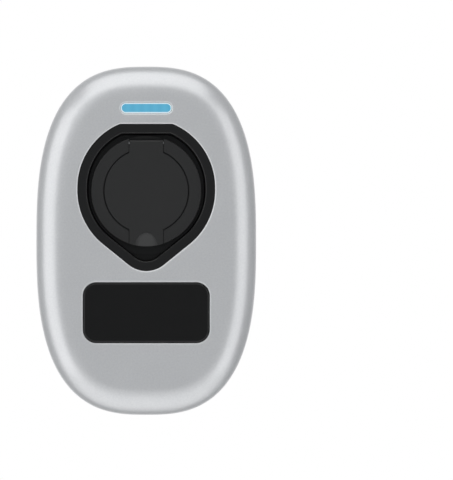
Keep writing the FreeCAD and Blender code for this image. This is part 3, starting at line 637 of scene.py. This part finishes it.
def screw_tree(surface):
    """Pan-head screws with a cross recess: domed head, shank and a cut cross, on each point.

    The dome is a ball a little wider than the head, cut off by the head's own cylinder.
    """
    tree = Tree("cross_pan_head", head_radius=0.003, head_height=0.002, shank_radius=0.0015,
                length=0.01)
    head, tall, shank, length = (tree.given[k] for k in range(1, 5))
    dome = tree.node("GeometryNodeMeshUVSphere", Segments=HEAD_SIDES, Rings=DOME_RINGS,
                     Radius=1.0)[0]
    dome = tree.node("GeometryNodeTransform", Geometry=dome, Scale=tree.vector(
        tree.times(head, DOME_R), tree.times(head, DOME_R), tall))[0]
    drum = tree.node("GeometryNodeMeshCylinder", Vertices=HEAD_SIDES, Radius=head,
                     Depth=tall)["Mesh"]
    drum = tree.node("GeometryNodeTransform", Geometry=drum, Translation=tree.vector(
        z=tree.times(tall, 0.5)))[0]
    cap = tree.node("GeometryNodeMeshBoolean", {"operation": "INTERSECT"}, Mesh_2=dome)
    tree.tree.links.new(drum, cap["Mesh"].node.inputs["Mesh 2"])
    recess = tree.node("GeometryNodeMeshCube", Size=tree.vector(
        tree.times(head, RECESS_LONG), tree.times(head, RECESS_WIDE), tall))["Mesh"]
    recess = tree.node("GeometryNodeTransform", Geometry=recess, Translation=tree.vector(
        z=tree.times(tall, RECESS_Z)))[0]
    across = tree.node("GeometryNodeTransform", Geometry=recess, Rotation=(0, 0, pi / 2))[0]
    cut = tree.node("GeometryNodeMeshBoolean", {"operation": "DIFFERENCE"}, Mesh_1=cap["Mesh"],
                    Mesh_2=recess)
    tree.tree.links.new(across, cut["Mesh"].node.inputs["Mesh 2"])
    rod = tree.node("GeometryNodeMeshCylinder", Vertices=SHANK_SIDES, Radius=shank,
                    Depth=length)["Mesh"]
    rod = tree.node("GeometryNodeTransform", Geometry=rod, Translation=tree.vector(
        z=tree.times(length, -0.5)))[0]
    screw = tree.node("GeometryNodeJoinGeometry", Geometry=cut["Mesh"])
    tree.tree.links.new(rod, screw["Geometry"].node.inputs["Geometry"])
    way = tree.node("GeometryNodeInputNamedAttribute", {"data_type": "FLOAT_VECTOR"},
                    Name="way")["Attribute"]
    turn = tree.node("FunctionNodeAlignRotationToVector", {"axis": "Z"}, Vector=way)[0]
    copies = tree.node("GeometryNodeInstanceOnPoints", Points=tree.given["Geometry"],
                       Instance=screw["Geometry"], Rotation=turn)[0]
    tree.close(copies, surface)
    return tree


def screws(tree, node, name):
    """All screws of a node, made again with domed and recessed heads."""
    groups = {}
    for place, way, *sizes in fasteners(node):
        kind = tuple(round(size, DECIMALS) for size in sizes)
        groups.setdefault(kind, []).append((place, (0, -way, 0)))
    bm = bmesh.new()
    for (head, tall, shank, length), spots in groups.items():
        base = points_mesh(name, [spot[0] for spot in spots], [spot[1] for spot in spots])
        bm.from_mesh(tree.bake(name, base, head_radius=head, head_height=tall,
                               shank_radius=shank, length=length))
    piece = finished(name, mesh_from(name, bm, sharp=35.0), slot_of[node], body_of[node])
    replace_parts(piece, node)


def spring_tree(surface):
    """Torsion spring: round wire wound on a helix about the hinge pin."""
    tree = Tree("torsion_coil", turns=6.0, mean_radius=0.0025, height=0.006, wire_radius=0.0003)
    turns, radius, height, wire = (tree.given[k] for k in range(1, 5))
    helix = tree.node("GeometryNodeCurveSpiral", Resolution=COIL_STEPS, Rotations=turns,
                      Start_Radius=radius, End_Radius=radius, Height=height)[0]
    ring = tree.node("GeometryNodeCurvePrimitiveCircle", Resolution=WIRE_SIDES,
                     Radius=wire)["Curve"]
    coil = tree.node("GeometryNodeCurveToMesh", Curve=helix, Profile_Curve=ring,
                     Fill_Caps=True)["Mesh"]
    coil = tree.node("GeometryNodeTransform", Geometry=coil, Rotation=(0, pi / 2, 0))[0]
    copies = tree.node("GeometryNodeInstanceOnPoints", Points=tree.given["Geometry"],
                       Instance=coil)[0]
    tree.close(copies, surface)
    return tree


def lid_spring():
    """The lid's coil, on the axis of its hinge and inside the box of its solid."""
    low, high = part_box("lid_spring")
    outer = (high[2] - low[2]) / 2
    length = high[0] - low[0] - 2 * WIRE_R
    start = (low[0] + WIRE_R, (low[1] + high[1]) / 2, (low[2] + high[2]) / 2)
    base = points_mesh("spring_coil", [start], [(1, 0, 0)])
    mesh = spring_tree(finish["zinc_steel"]).bake("spring_coil", base,
                                                  turns=length / COIL_PITCH,
                                                  mean_radius=outer - WIRE_R, height=length,
                                                  wire_radius=WIRE_R)
    piece = finished("spring_coil", mesh, slot_of["lid_spring"], body_of["lid_spring"])
    mesh.polygons.foreach_set("use_smooth", [True] * len(mesh.polygons))
    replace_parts(piece, "lid_spring")


softened("rear_housing", "housing_shell", sharp=30.0, joined=False, flats=False)
softened("front_body", "inner_body", sharp=12.0, joined=False)
softened("body_gasket", "seam_rubber")
softened("socket_bezel", "teardrop_dish", 0.0005)
softened("socket_ring", "ring_wings", 0.0004)
softened("socket_lid", "lid_plate", 0.0005)
softened("lid_seal", "lid_gasket", 0.0003)
softened("socket_shell", "plug_tube")
softened("socket_insert", "contact_carrier")
softened("badge_plate", "badge")
softened("light_guide", "light_frame")
softened("light_lens", "light_bar")
softened("lid_hinge_pin", "hinge_pin")
softened("power_contacts", "power_sleeves", 0.0002)
softened("signal_contacts", "signal_sleeves", 0.0001)
softened("lock_pin", "lock_bolt", 0.0002)
softened("cable_grommet", "cable_entry", 0.0004)
softened("wall_bracket", "back_plate", 0.0003)
pan_heads = screw_tree(finish["zinc_steel"])
screws(pan_heads, "body_screws", "housing_screws")
screws(pan_heads, "small_screws", "inner_screws")
lid_spring()


def camera():
    """Straight front view; the shift puts the box at the left, where the photo has it.

    scale is the width in metres that the frame's longer side shows, and right and up are the
    shift in the photo's pixels.
    """
    scale, distance, wide, right, up = 0.4827, 3.0, 480, 80.25, 0.75
    data = bpy.data.cameras.new("camera")
    data.lens = data.sensor_width * distance / scale
    data.shift_x = right / wide
    data.shift_y = up / wide
    data.clip_end = 100
    made = bpy.data.objects.new("camera", data)
    made.location = (0, FRONT + ROUND - distance, CENTRE_Z)
    made.rotation_euler = (pi / 2, 0, 0)
    bpy.context.scene.collection.objects.link(made)
    bpy.context.scene.camera = made


def softbox(name, turn, rise, distance, size, level):
    """A large even light.

    turn and rise are degrees off the line to the camera, distance and size are metres, and
    level is how bright the lamp itself looks, with 1 as white.
    """
    away = Vector((sin(radians(turn)) * cos(radians(rise)),
                   -cos(radians(turn)) * cos(radians(rise)), sin(radians(rise))))
    data = bpy.data.lights.new(name, "AREA")
    data.shape = "RECTANGLE"
    data.size, data.size_y = size
    data.energy = level * pi * size[0] * size[1]
    made = bpy.data.objects.new(name, data)
    made.location = Vector((0, FRONT + ROUND, CENTRE_Z)) + away * distance
    made.rotation_euler = (-away).to_track_quat("-Z", "Y").to_euler()
    made.visible_camera = False
    bpy.context.scene.collection.objects.link(made)


def seen_plainly(tree):
    """1 for what the camera sees, straight or through gloss and clear plastic, else 0."""
    path = add(tree, "ShaderNodeLightPath").outputs
    either = add(tree, "ShaderNodeMath", {"operation": "MAXIMUM"}, _0=path["Is Glossy Ray"],
                 _1=path["Is Transmission Ray"]).outputs[0]
    return add(tree, "ShaderNodeMath", {"operation": "MAXIMUM"}, _0=path["Is Camera Ray"],
               _1=either).outputs[0]


def surroundings():
    """White backdrop behind the box, a grey room in front of it, and soft light all round.

    Gloss and clear plastic see the white only close to straight behind the box, where depth
    is between fading and full.
    """
    front_level, back_level = 0.42, 0.22
    fading, full = 0.75, 0.95
    world = bpy.data.worlds.new("studio")
    bpy.context.scene.world = world
    world.use_nodes = True
    tree = world.node_tree
    tree.nodes.clear()
    way = add(tree, "ShaderNodeTexCoord").outputs["Generated"]
    depth = add(tree, "ShaderNodeSeparateXYZ", Vector=way).outputs["Y"]
    room = add(tree, "ShaderNodeBackground", Color=linear("#E9ECEF"),
               Strength=between(tree, depth, front_level, back_level, -1.0, 1.0))
    white = add(tree, "ShaderNodeBackground", Color=(1, 1, 1, 1), Strength=1.0)
    behind = add(tree, "ShaderNodeMath", {"operation": "MULTIPLY"}, _0=seen_plainly(tree),
                 _1=between(tree, depth, 0.0, 1.0, fading, full)).outputs[0]
    straight = add(tree, "ShaderNodeLightPath").outputs["Is Camera Ray"]
    seen = add(tree, "ShaderNodeMath", {"operation": "MAXIMUM"}, _0=straight,
               _1=behind).outputs[0]
    mix = add(tree, "ShaderNodeMixShader", _0=seen, _1=room.outputs[0], _2=white.outputs[0])
    add(tree, "ShaderNodeOutputWorld", Surface=mix.outputs[0])


def floor():
    """Pale floor well below the box, which hangs on a wall; clear when seen from beneath.

    It glows a little in gloss and clear plastic and more for the camera, so that it is nearly
    as white as the backdrop.
    """
    gloss_glow, more_glow = 0.35, 0.45
    bm = bmesh.new()
    corners = ((FLOOR_X[0], FLOOR_Y[0]), (FLOOR_X[1], FLOOR_Y[0]),
               (FLOOR_X[1], FLOOR_Y[1]), (FLOOR_X[0], FLOOR_Y[1]))
    bm.faces.new([bm.verts.new((x, y, FLOOR_Z)) for x, y in corners])
    mesh = bpy.data.meshes.new("floor")
    bm.to_mesh(mesh)
    bm.free()
    made = bpy.data.objects.new("floor", mesh)
    shade, tree, surface, where = material("floor", Roughness=0.9,
                                           Emission_Color=linear("#FFFFFF"))
    straight = add(tree, "ShaderNodeLightPath").outputs["Is Camera Ray"]
    glow = add(tree, "ShaderNodeMath", {"operation": "ADD"},
               _0=between(tree, seen_plainly(tree), 0.0, gloss_glow),
               _1=between(tree, straight, 0.0, more_glow)).outputs[0]
    feed(tree, surface, Base_Color=tint(tree, noise(tree, where, 300.0), "#F0F0F0", "#F4F4F4"),
         Emission_Strength=glow)
    under = add(tree, "ShaderNodeNewGeometry").outputs["Backfacing"]
    clear = add(tree, "ShaderNodeBsdfTransparent")
    mix = add(tree, "ShaderNodeMixShader", _0=under, _1=surface.outputs[0], _2=clear.outputs[0])
    end = next(step for step in tree.nodes if step.type == "OUTPUT_MATERIAL")
    tree.links.new(mix.outputs[0], end.inputs["Surface"])
    mesh.materials.append(shade)
    bpy.context.scene.collection.objects.link(made)


camera()
surroundings()
floor()
# The side and top lamps shine on the cover's rounding, which gives the bright band round its edge.
softbox("left_box", -70, 0, 2.0, (2.0, 3.0), 1.12)
softbox("right_box", 65, 0, 2.0, (1.6, 3.0), 1.0)
softbox("top_box", 0, 74, 2.0, (3.0, 2.4), 1.12)
softbox("low_box", 0, -74, 1.15, (1.8, 1.1), 0.28)
softbox("key", -38, 34, 0.9, (0.6, 0.6), 0.35)
bpy.context.scene.view_settings.view_transform = "Standard"
